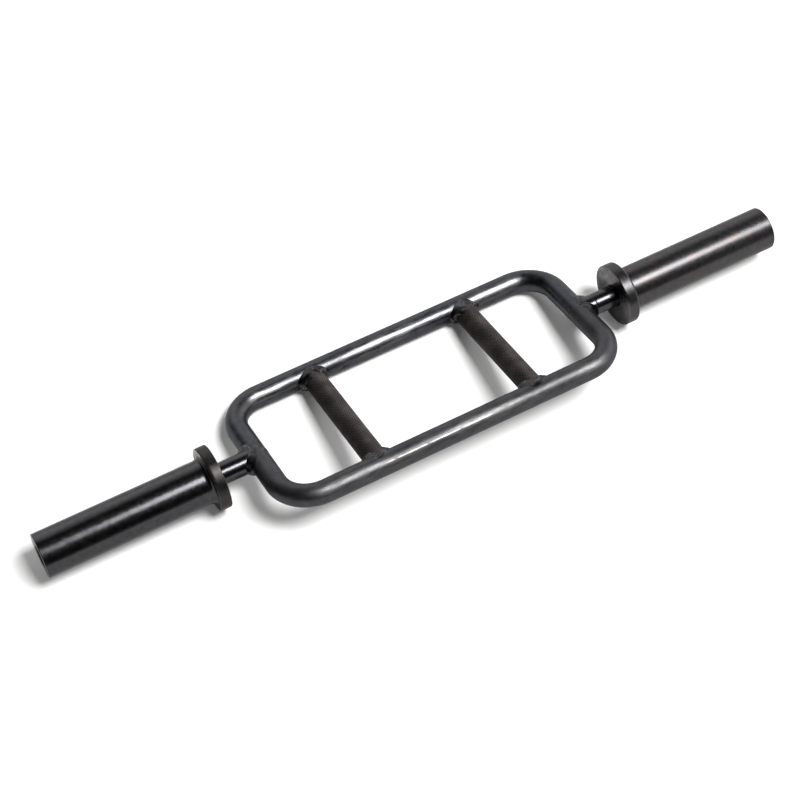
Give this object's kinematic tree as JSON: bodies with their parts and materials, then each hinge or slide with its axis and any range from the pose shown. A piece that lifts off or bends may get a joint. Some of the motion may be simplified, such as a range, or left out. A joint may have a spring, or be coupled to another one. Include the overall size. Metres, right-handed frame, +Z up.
{
  "type": "triceps bar",
  "caption": "Weight bar: a rounded rectangular frame with two parallel knurled cross grips, and a flanged, turning plate sleeve on each end.",
  "frame": {"origin": "on the floor under the middle of the bar, with the bar at rest on its flanges and on its far rail", "axes": "+X along the bar's long axis, from the left sleeve to the right one; +Y towards the rail that touches the floor; +Z up"},
  "size_m": [0.9, 0.194, 0.072],
  "materials": {
    "frame_black_oxide": "satin black oxide on bent steel bar",
    "sleeve_black_oxide": "semi-gloss oiled black oxide on turned steel",
    "knurled_black_oxide": "matte black oxide on diamond knurling",
    "turned_black_oxide": "gloss black oxide on turned steel",
    "weld_metal": "black oxide over weld beads",
    "fastener_steel": "blackened steel",
    "bearing_bronze": "plain bearing bronze"
  },
  "bodies": {
    "frame": {"frame_half_near": "frame_black_oxide", "frame_half_far": "frame_black_oxide", "seam_weld_left": "weld_metal", "seam_weld_right": "weld_metal", "grip_left": "knurled_black_oxide", "grip_right": "knurled_black_oxide", "grip_weld_left_near": "weld_metal", "grip_weld_left_far": "weld_metal", "grip_weld_right_near": "weld_metal", "grip_weld_right_far": "weld_metal", "end_shaft_left": "turned_black_oxide", "end_shaft_right": "turned_black_oxide", "shaft_weld_left": "weld_metal", "shaft_weld_right": "weld_metal", "thrust_washer_left": "bearing_bronze", "thrust_washer_right": "bearing_bronze", "retaining_washer_left": "fastener_steel", "retaining_washer_right": "fastener_steel", "lock_washer_left": "fastener_steel", "lock_washer_right": "fastener_steel", "end_bolt_left": "fastener_steel", "end_bolt_right": "fastener_steel"},
    "left_sleeve": {"sleeve_left": "sleeve_black_oxide", "flange_left": "sleeve_black_oxide", "flange_weld_left": "weld_metal", "inner_bushing_left": "bearing_bronze", "outer_bushing_left": "bearing_bronze"},
    "right_sleeve": {"sleeve_right": "sleeve_black_oxide", "flange_right": "sleeve_black_oxide", "flange_weld_right": "weld_metal", "inner_bushing_right": "bearing_bronze", "outer_bushing_right": "bearing_bronze"}
  },
  "joints": [
    {"name": "left_sleeve_spin", "type": "hinge", "parent": "frame", "child": "left_sleeve", "pos_m": [-0.35475, 0, 0.036], "axis": [1, 0, 0], "continuous": true},
    {"name": "right_sleeve_spin", "type": "hinge", "parent": "frame", "child": "right_sleeve", "pos_m": [0.35475, 0, 0.036], "axis": [1, 0, 0], "continuous": true}
  ]
}
